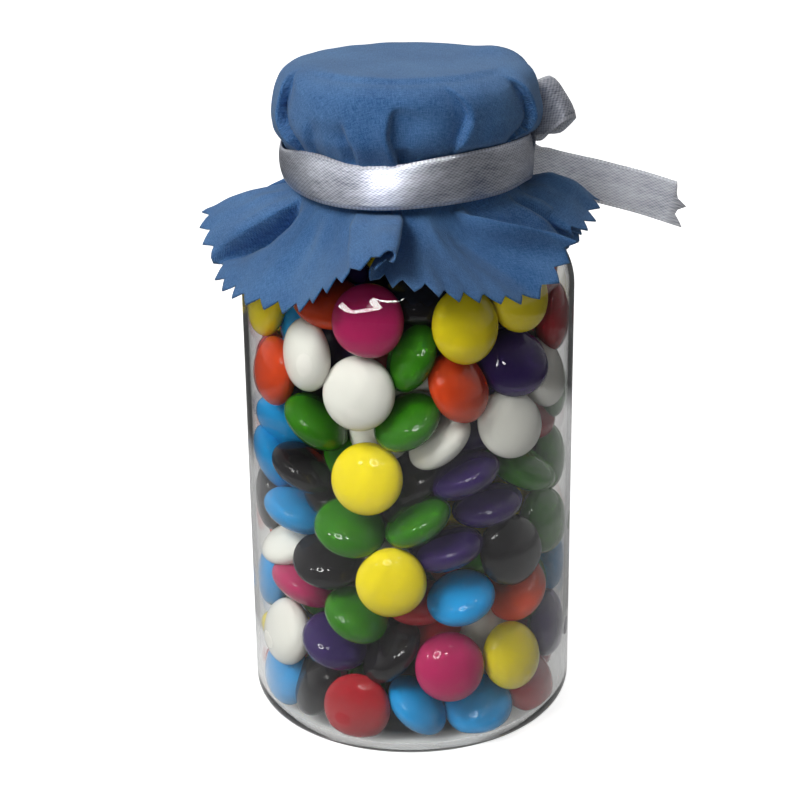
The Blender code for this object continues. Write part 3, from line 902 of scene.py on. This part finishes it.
def slow_waves(flat, rng, lengths, height):
    """Shallow random undulations over the flat cut."""
    total = np.zeros(flat.shape[:-1])
    for length in lengths:
        for _ in range(4):
            angle = rng.uniform(0.0, math.tau)
            way = np.array([math.cos(angle), math.sin(angle)]) * math.tau / length
            total += np.sin(flat @ way + rng.uniform(0.0, math.tau))
    return height * total / (2.0 * len(lengths))


def hem_columns():
    """Hem points, ribbon bearings and reliefs of all columns, and how far each is in a tooth."""
    stations = [(*around(b, r, z), *rest) for b, r, z, *rest in HEM]
    _, length = closed_curve(stations, 400)
    columns = round(length / TOOTH_PITCH) * COLUMNS_PER_TOOTH
    hem, _ = closed_curve(stations, columns)
    half = COLUMNS_PER_TOOTH / 2
    return hem, np.abs((np.arange(columns) % COLUMNS_PER_TOOTH) / half - 1.0)


def least_radius(z):
    """How near the axis the cover may come at heights: clear of the lid, or of the neck below."""
    reach = LID_EDGE + LID_CLEAR
    past = np.clip(z - LID_TOP + LID_EDGE, 0.0, reach)
    lid = LID_RADIUS - LID_EDGE + np.sqrt(reach ** 2 - past ** 2)
    lid = np.where(z > LID_TOP + LID_CLEAR, 0.0, lid)
    return np.where(z > LID_LOW - LID_CLEAR, lid, NECK_CLEAR)


def cap_height(r, z, bearing):
    """The level's height: a little dished in the middle, and raised at the lobe behind."""
    dished = CAP_DISH * (1.0 - ease((r - 12.0) / 9.0))
    lobe = np.exp(-(turned_back(bearing - LOBE_BEARING) / LOBE_WIDTH) ** 2)
    front = ease((68.0 - np.abs(turned_back(bearing))) / 20.0)
    drop = FRONT_DROP * front * ease((r - 20.2) / 1.3) * (1.0 - ease((r - 24.5) / 2.5))
    return z - dished - drop + LOBE_RISE * lobe * ease((r - 12.0) / 10.0) * ease((z - 134.0) / 6.0)


def band_edges(bearings):
    """Heights of the ribbon's upper and lower edge at bearings."""
    spots, *edges = (np.array(v, dtype=float) for v in zip(*BAND_EDGES))
    smooth = []
    for edge in edges:
        fine = np.interp(np.arange(360.0), spots, edge, period=360.0)
        for _ in range(30):
            fine = (np.roll(fine, 1) + fine * 2 + np.roll(fine, -1)) / 4
        smooth.append(np.interp(bearings, np.arange(360.0), fine, period=360.0))
    return smooth


def cap_rows(hem, even, rng):
    """Rows of points from the middle of the cap down to the ribbon's lower edge."""
    gathers = gather_relief(even, rng)
    drawn_in = BAND_RADIUS - 0.4 - 1.5 * band_edges(even)[0]
    low_bearing, stand = hem[:, 3], hem[:, 4]
    profile = evened(smooth_route(CAP_PROFILE, 200), CAP_ROWS)
    profile = [row for k, row in enumerate(profile) if row[0] > 17.0 or k % 4 == 0]
    under = [(CINCH_RADIUS, z) for z in np.linspace(BAND_TOP - 2.6, BAND_BOTTOM, BAND_ROWS)]
    rows, travel, walked, last = [], [], 0.0, (0.0, CLOTH_TOP)
    for r, z in np.vstack([profile, under]):
        walked += math.hypot(r - last[0], z - last[1])
        last = (r, z)
        hidden = float(ease((BAND_TOP - 1.5 - z) / (BAND_TOP - 1.5 - BAND_BOTTOM)))
        shown = float(ease((r - 19.0) / 5.0)) * (1.0 - 0.8 * float(ease((BAND_TOP - z) / 2.0)))
        drawn = float(ease((134.0 - z) / 8.0)) * (0.4 - 0.25 * hidden)
        relief, lapped = crease_shift(even, z)
        out = relief * shown + gathers * drawn + stand * START_SHARE * hidden
        bearing = even + (low_bearing - even) * hidden + np.degrees(lapped * shown / CINCH_RADIUS)
        out = np.minimum(out, drawn_in + 1.5 * max(z, 124.0) - r) if z < 131.0 else out
        height = cap_height(r, z, even)
        out = np.maximum(out, least_radius(height) - r) if r > 19.0 else 0.0
        rows.append(around(bearing, r + out, height))
        travel.append(np.full(len(even), walked))
    return rows, travel


def skirt_rows(start, hem, tooth, walked, rng):
    """Rows from under the ribbon to the hem, whose last ones are cut into teeth."""
    end, low_bearing, stand, push = hem[:, :3], hem[:, 3], hem[:, 4:5], hem[:, 5:6]
    out = unit(start * LEVEL)
    chord = end - start
    span = np.linalg.norm(chord, axis=1)[:, None]
    slope = np.radians(np.interp(end[:, 2], LEAVE_HEIGHTS, LEAVE_SLOPES))[:, None]
    leave = (np.cos(slope) * unit(out + unit(chord * LEVEL)) - np.sin(slope) * UP) * span * 1.1
    arrive = unit(unit(chord) - 0.1 * UP) * span
    across = np.cross(UP, out)
    proud = out + UP - np.sum((out + UP) * unit(chord), axis=1)[:, None] * unit(chord)
    gathers = gather_relief(low_bearing, rng)[:, None]
    rows, travel = [], []
    for k in range(1, SKIRT_ROWS + 1):
        even = k / SKIRT_ROWS
        share = even * (1.0 - (TOOTH_DEPTH / span[:, 0]) * tooth * even ** 5)
        s = share[:, None]
        point = (start * (2 * s ** 3 - 3 * s ** 2 + 1) + leave * (s ** 3 - 2 * s ** 2 + s)
                 + hem[:, :3] * (3 * s ** 2 - 2 * s ** 3) + arrive * (s ** 3 - s ** 2))
        rise = ease(even / 0.3) * (1.0 - 0.75 * ease((even - 0.5) / 0.5))
        drawn = 0.5 * ease(even / 0.2) * ease((0.9 - even) / 0.7)
        rows.append(point + unit(proud) * (stand * rise + gathers * drawn) + across * push * rise)
        travel.append(walked + share * span[:, 0])
    return rows, travel


def surface_normals(grid):
    """Outward normals of a grid whose rows go round and whose columns go down."""
    along = np.roll(grid, -1, axis=1) - np.roll(grid, 1, axis=1)
    down = np.gradient(grid, axis=0)
    return unit(np.cross(down, along) + 1e-12)


def build_cloth(material):
    """The cover as one sheet, from its middle to its pinked hem."""
    rng = np.random.RandomState(4)
    hem, tooth = hem_columns()
    columns = len(hem)
    tooth = tooth * np.repeat(rng.uniform(0.85, 1.15, columns // COLUMNS_PER_TOOTH), COLUMNS_PER_TOOTH)
    even = hem[0, 3] + np.linspace(0.0, 360.0, columns, endpoint=False)
    rows, travel = cap_rows(hem, even, rng)
    more, more_travel = skirt_rows(rows[-1], hem, tooth, travel[-1], rng)
    grid = np.array(rows + more)
    travel = np.array(travel + more_travel)
    flat = around(even, travel, 0.0)[..., :2]
    waves = slow_waves(flat, rng, (7.0, 12.0, 19.0), 0.28)
    waves[:len(rows)] *= 0.4
    grid = grid + surface_normals(grid) * waves[..., None]
    verts = np.vstack([[(0.0, 0.0, CLOTH_TOP - CAP_DISH)], grid.reshape(-1, 3)]) * MM
    uvs = np.vstack([[(0.0, 0.0)], flat.reshape(-1, 2)]) * MM
    faces = [(0, 1 + i, 1 + (i + 1) % columns) for i in range(columns)]
    for k in range(len(grid) - 1):
        low, high = 1 + k * columns, 1 + (k + 1) * columns
        for i in range(columns):
            j = (i + 1) % columns
            faces.append((low + i, high + i, high + j, low + j))
    cover = mesh_object("cotton_cover", verts, faces, material, uvs)
    solidify = cover.modifiers.new("thickness", "SOLIDIFY")
    solidify.thickness = CLOTH_THICKNESS
    solidify.offset = -1.0
    own(cover, "blue_cotton", "cloth_cover")


def ribbon_strip(centre, across, closed=False):
    """Points, faces and flat places of a strip along centre points, with half-width vectors."""
    lanes = np.linspace(-1.0, 1.0, LANES)
    centre, across = np.array(centre), np.array(across)
    points = (centre[:, None] + across[:, None] * lanes[None, :, None]).reshape(-1, 3)
    count, width = len(centre), len(lanes)
    steps = np.linalg.norm(np.diff(centre, axis=0), axis=1)
    travel = np.concatenate([[0.0], np.cumsum(steps)])
    flat = np.stack(np.meshgrid(travel, lanes * RIBBON_WIDTH * 0.5, indexing="ij"), axis=-1)
    faces = []
    for i in range(count if closed else count - 1):
        j = (i + 1) % count
        for k in range(width - 1):
            faces.append((i * width + k, j * width + k, j * width + k + 1, i * width + k + 1))
    return points, faces, flat.reshape(-1, 2), travel[-1]


def band_strip():
    """The turn round the neck, a little hollow behind; its edges rise and dip."""
    bearings = KNOT_BEARING + np.arange(0.0, 360.0, 1.5)
    tops, lows = band_edges(bearings)
    centre = around(bearings, BAND_RADIUS, (tops + lows) / 2)
    across = around(bearings, 0.25 * np.sin(np.radians(3 * bearings)), (tops - lows) / 2)
    strip = ribbon_strip(centre, across, closed=True)
    lanes = np.tile(np.linspace(-1.0, 1.0, LANES), len(bearings))
    strip[0][:] += around(np.repeat(bearings, LANES), BAND_BULGE * (1.0 - lanes ** 2), 0.0)
    return strip


def loop_strip(tip, lean):
    """A loop of the bow, out from the knot to its tip and back, its width leaning over."""
    knot = around(KNOT_BEARING, KNOT_RADIUS, BAND_MID)
    along = np.array(tip) - knot
    side = unit(np.cross(along, UP))
    width = unit(np.cross(side, along))
    width, side = (width * math.cos(lean) + side * math.sin(lean),
                   side * math.cos(lean) - width * math.sin(lean))
    centre, across = [], []
    for i in range(LOOP_STEPS + 1):
        angle = math.tau * i / LOOP_STEPS
        share = 0.5 - 0.5 * math.cos(angle)
        puff = 4.4 * math.sin(angle) * (0.35 + 0.65 * share)
        crumple = 0.3 * math.sin(5.0 * angle) * share
        centre.append(knot + along * (share + 0.02 * crumple) + side * (puff + crumple))
        spread = 0.35 + 0.75 * ease((share - 0.15) / 0.4)
        across.append(width * RIBBON_WIDTH * 0.5 * spread + side * crumple)
    strip = ribbon_strip(centre, across)
    shares = np.repeat(0.5 - 0.5 * np.cos(np.linspace(0.0, math.tau, LOOP_STEPS + 1)), LANES)
    lanes = np.abs(np.tile(np.linspace(-1.0, 1.0, LANES), LOOP_STEPS + 1))
    drawn_back = LOOP_ROUNDING * shares ** 6 * lanes ** 4
    strip[0][:] -= unit(along) * drawn_back[:, None]
    return strip


def tail_strip(route):
    """A loose end, from under the knot along its route to its frayed cut."""
    centre = evened(smooth_route([around(KNOT_BEARING, KNOT_RADIUS, BAND_MID)] + route, 80), TAIL_STEPS)
    run = np.gradient(centre, axis=0)
    side = unit(np.cross(run, UP))
    width = unit(np.cross(side, run))
    spread = 0.3 + 0.2 * np.minimum(1.0, 4.0 * np.arange(TAIL_STEPS + 1) / TAIL_STEPS)
    strip = ribbon_strip(centre, width * (RIBBON_WIDTH * spread)[:, None])
    strip[0][-len(FRAYED_END):] += unit(run[-1:]) * np.array(FRAYED_END)[:, None]
    return strip


def knot_strip():
    """The turn of ribbon that holds the bow together."""
    middle = around(KNOT_BEARING, KNOT_RADIUS + 0.4, BAND_MID)
    out = around(KNOT_BEARING, 1.0, 0.0)
    side = around(KNOT_BEARING + 90.0, 1.0, 0.0)
    turns = np.radians(np.arange(0.0, 360.0, 10.0))[:, None]
    centre = middle + out * 2.0 * np.cos(turns) + KNOT_HALF_HEIGHT * UP * np.sin(turns)
    return ribbon_strip(centre, np.tile(side * KNOT_HALF_WIDTH, (len(turns), 1)), closed=True)


def build_ribbon(material):
    """Band, bow loops, loose ends and knot, all of one ribbon."""
    strips = [
        band_strip(),
        loop_strip((32.0, 4.0, 133.8), 0.15),
        loop_strip((12.5, 33.0, 129.5), -0.2),
        tail_strip([(27.5, 16.6, 116.0), (41.0, 14.0, 112.8), (49.8, 12.0, 110.8),
                    (56.8, 10.0, 108.9)]),
        tail_strip([(24.0, 24.0, 117.6), (20.5, 36.0, 112.5), (14.0, 50.0, 107.0)]),
        knot_strip(),
    ]
    points, faces, flats, loose, start = [], [], [], [], 0
    for k, (strip_points, strip_faces, flat, _) in enumerate(strips):
        loose += [LOOSENESS[k]] * len(strip_points)
        faces += [tuple(v + start for v in face) for face in strip_faces]
        start += len(strip_points)
        points.append(strip_points)
        flats.append(flat)
    ribbon = mesh_object("satin_ribbon", np.vstack(points) * MM, faces, material,
                         np.vstack(flats) * MM)
    ribbon.data.attributes.new("loose", "FLOAT", "POINT").data.foreach_set("value", loose)
    solidify = ribbon.modifiers.new("thickness", "SOLIDIFY")
    solidify.thickness = RIBBON_THICKNESS
    solidify.offset = 0.0
    own(ribbon, "silver_satin", "ribbon")
    return ribbon


def mirrored_patches(tree, place, from_axis):
    """How bright the floor is where the glass mirrors it: by the jar's foot, ahead of it to the
    right, and straight behind."""
    away = add_node(tree, "ShaderNodeVectorMath", {0: place, 1: BRIGHT_CENTRE},
                    operation="DISTANCE").outputs["Value"]
    parts = add_node(tree, "ShaderNodeSeparateXYZ", {"Vector": place})
    aside = calc(tree, "ARCTAN2", parts.outputs["X"], parts.outputs["Y"])
    aside = calc(tree, "ADD", calc(tree, "ABSOLUTE", aside), calc(tree, "MULTIPLY", from_axis, 1.5))
    shown = None
    for measure, full, none, most in ((away, BRIGHT_REACH, BRIGHT_REACH + 0.025, 0.62),
                                      (from_axis, 0.055, 0.07, 0.8), (aside, 0.5, 0.8, 0.8)):
        patch = ranged(tree, measure, full, none, most, 0.05)
        shown = patch if shown is None else calc(tree, "MAXIMUM", shown, patch)
    return shown


def floor_lift(tree, path, from_axis, beyond_foot):
    """The floor's glow: evenly white to the eye, and painted light where it is seen through the jar's
    rim.
    """
    direct = calc(tree, "MULTIPLY", path.outputs["Is Camera Ray"], FLOOR_LIFT)
    seen_through = calc(tree, "LESS_THAN", path.outputs["Diffuse Depth"], 0.5)
    # Painted light: a ring round the foot glows where it is seen through the glass.
    rim = ranged(tree, from_axis, 0.045, 0.06, RIM_PAINTED_LIGHT, 0.0)
    beyond = calc(tree, "MULTIPLY", calc(tree, "MULTIPLY", beyond_foot, rim), seen_through)
    return calc(tree, "MAXIMUM", direct, beyond)


def floor_material():
    """Pale floor, with painted shade under the jar."""
    material, tree, shader = new_material("pale_floor")
    shader.inputs["Roughness"].default_value = 0.9
    shader.inputs["Emission Color"].default_value = (1.0, 1.0, 1.0, 1.0)
    path = add_node(tree, "ShaderNodeLightPath")
    place = add_node(tree, "ShaderNodeTexCoord").outputs["Object"]
    from_axis = add_node(tree, "ShaderNodeVectorMath", {0: place}, operation="LENGTH").outputs["Value"]
    mirrored = calc(tree, "GREATER_THAN", path.outputs["Glossy Depth"], 0.5)
    grey = add_node(tree, "ShaderNodeMix", {"Factor": mirrored, "A": 1.0,
                                            "B": mirrored_patches(tree, place, from_axis)})
    bounced = ranged(tree, path.outputs["Diffuse Depth"], 0.0, 1.0, 0.86, 0.4)
    albedo = calc(tree, "MULTIPLY", grey.outputs[0], bounced)
    # Painted shade: darker and bluer inside the jar's foot, where the jar shades the floor.
    beyond_foot = ranged(tree, from_axis, JAR_RADIUS - 0.012, JAR_RADIUS - 0.006)
    shade = blended(tree, beyond_foot, UNDER_JAR_SHADE, (1.0, 1.0, 1.0, 1.0))
    tree.links.new(floor_lift(tree, path, from_axis, beyond_foot), shader.inputs["Emission Strength"])
    tone = add_node(tree, "ShaderNodeVectorMath", {0: shade, 1: albedo}, operation="MULTIPLY")
    tree.links.new(tone.outputs[0], shader.inputs["Base Color"])
    return material


def build_floor():
    half = FLOOR_HALF
    outline = [(-half, -half, 0.0), (half, -half, 0.0), (half, half, 0.0), (-half, half, 0.0)]
    mesh_object("floor", outline, [(0, 1, 2, 3)], floor_material())


def from_jar(bearing, elevation, distance):
    """A place by bearing and elevation in degrees, seen from the middle of the jar."""
    rise = math.radians(elevation)
    flat = around(bearing, distance * math.cos(rise), 0.0)
    return Vector(flat) + Vector(LIGHT_TARGET) + Vector((0.0, 0.0, distance * math.sin(rise)))


def add_lamp(name, place, size, power):
    """A square lamp aimed at the jar, not mirrored and not seen through the glass."""
    lamp = bpy.data.lights.new(name, "AREA")
    lamp.shape = "SQUARE"
    lamp.size = size
    lamp.energy = power
    obj = bpy.data.objects.new(name, lamp)
    SCENE.collection.objects.link(obj)
    obj.location = place
    obj.rotation_euler = (Vector(LIGHT_TARGET) - place).to_track_quat("-Z", "Y").to_euler()
    obj.visible_glossy = False
    obj.visible_transmission = False
    return obj


def light_only(lamp, name, pieces):
    """Keeps a lamp's light to the pieces given."""
    lit = bpy.data.collections.new(name)
    for piece in pieces:
        lit.objects.link(piece)
    lamp.light_linking.receiver_collection = lit


def build_satin_lamps(ribbon):
    """Lamps that only give the satin its gleam, and light on its loops."""
    for name, bearing, elevation, size, power, mirrored in SATIN_LAMPS:
        lamp = add_lamp(name, from_jar(bearing, elevation, SATIN_LAMP_DISTANCE), size, power)
        lamp.visible_glossy = mirrored
        lamp.visible_diffuse = not mirrored
        light_only(lamp, name + "_lit", [ribbon])


def add_glow(name, strength):
    """Turns the object just made into a light that only reflections show."""
    glowing = bpy.context.object
    glowing.name = name
    material, tree, _ = new_material(name)
    glow = add_node(tree, "ShaderNodeEmission", {"Color": (1.0, 1.0, 1.0, 1.0),
                                                 "Strength": strength})
    tree.links.new(glow.outputs[0], tree.nodes["Material Output"].inputs["Surface"])
    material.cycles.emission_sampling = "NONE"
    glowing.data.materials.append(material)
    glowing.visible_camera = False
    glowing.visible_diffuse = False


def build_glows():
    """A ring lamp and three small round ones, which only reflections show."""
    place = from_jar(-15.0, 46.0, GLOW_DISTANCE)
    aim = (Vector(LIGHT_TARGET) - place).to_track_quat("Z", "Y").to_euler()
    bpy.ops.mesh.primitive_torus_add(major_radius=RING_RADIUS, minor_radius=RING_THICKNESS,
                                     major_segments=48, minor_segments=8, location=place,
                                     rotation=aim)
    add_glow("ring_lamp", GLOW)
    for name, bearing, elevation in DOTS:
        bpy.ops.mesh.primitive_uv_sphere_add(segments=16, ring_count=8, radius=DOT_RADIUS,
                                             location=from_jar(bearing, elevation, GLOW_DISTANCE))
        add_glow(name, GLOW)


def build_strip_light(jar):
    """A bent strip of light, which only the jar mirrors."""
    rim = [from_jar(bearing, elevation, GLOW_DISTANCE)
           for bearing, elevation in STRIP_LIGHT + SMALL_LIGHT]
    count = len(STRIP_LIGHT)
    faces = [tuple(range(count)), tuple(range(count, len(rim)))]
    material, tree, _ = new_material("strip_light")
    glow = add_node(tree, "ShaderNodeEmission", {"Strength": STRIP_GLOW})
    tree.links.new(glow.outputs[0], tree.nodes["Material Output"].inputs["Surface"])
    material.cycles.emission_sampling = "NONE"
    strip = mesh_object("strip_light", rim, faces, material)
    strip.visible_camera = False
    strip.visible_diffuse = False
    strip.visible_transmission = False
    light_only(strip, "strip_light_lit", [jar])


def build_world():
    """White to the eye, grey as a light and beige behind the glass. What the glass mirrors is
    dark ahead of the jar and pale behind it."""
    world = bpy.data.worlds.new("studio")
    world.use_nodes = True
    tree = world.node_tree
    path = add_node(tree, "ShaderNodeLightPath")
    way = add_node(tree, "ShaderNodeTexCoord")
    parts = add_node(tree, "ShaderNodeSeparateXYZ", {"Vector": way.outputs["Generated"]})
    mirrored = add_node(tree, "ShaderNodeMapRange", {"Value": parts.outputs["Y"], "From Min": -0.6,
                                                     "From Max": 0.4, "To Min": MIRRORED_AHEAD,
                                                     "To Max": MIRRORED_BEHIND})
    shown = tree.nodes["Background"]
    shown.inputs["Color"].default_value = (0.74, 0.72, 0.68, 1.0)
    for flag, strength in (("Diffuse Depth", 0.1), ("Glossy Depth", mirrored.outputs["Result"]),
                           ("Is Camera Ray", 1.0)):
        other = add_node(tree, "ShaderNodeBackground", {"Color": (1.0, 1.0, 1.0, 1.0),
                                                        "Strength": strength})
        share = add_node(tree, "ShaderNodeMath", {0: path.outputs[flag], 1: 0.5},
                         operation="GREATER_THAN")
        mix = add_node(tree, "ShaderNodeMixShader", {0: share.outputs[0]})
        tree.links.new(shown.outputs[0], mix.inputs[1])
        tree.links.new(other.outputs[0], mix.inputs[2])
        shown = mix
    tree.links.new(shown.outputs[0], tree.nodes["World Output"].inputs["Surface"])
    SCENE.world = world


def build_lights(buttons):
    for name, bearing, elevation, size, power in SOFTBOXES:
        add_lamp(name, from_jar(bearing, elevation, LAMP_DISTANCE), size, power)
    for name, bearing, elevation, size, power in BUTTON_LAMPS:
        lamp = add_lamp(name, from_jar(bearing, elevation, LAMP_DISTANCE), size, power)
        light_only(lamp, name + "_lit", buttons)
    build_glows()
    build_world()


def build_camera():
    lens = bpy.data.cameras.new("camera")
    lens.lens = LENS
    lens.sensor_width = 36.0
    lens.clip_start = 0.01
    camera = bpy.data.objects.new("camera", lens)
    SCENE.collection.objects.link(camera)
    turn = (Matrix.Rotation(math.radians(-CAMERA_YAW), 4, "Z")
            @ Matrix.Rotation(math.radians(90.0 - CAMERA_PITCH), 4, "X")
            @ Matrix.Rotation(math.radians(CAMERA_ROLL), 4, "Z"))
    camera.matrix_world = Matrix.Translation(CAMERA_PLACE) @ turn
    SCENE.camera = camera


def main():
    SCENE.view_settings.view_transform = "Standard"
    jar = build_jar(glass_material())
    build_lid(plain_material("lid_lacquer", srgb(190, 190, 188), 0.35, 0.9))
    buttons = build_buttons({name: shell_material(f"{name}_shell", srgb(*rgb))
                             for name, rgb in SHELL_COLOURS.items()})
    build_cloth(cotton_material())
    ribbon = build_ribbon(satin_material())
    build_floor()
    build_lights(buttons)
    build_satin_lamps(ribbon)
    build_strip_light(jar)
    build_camera()


main()
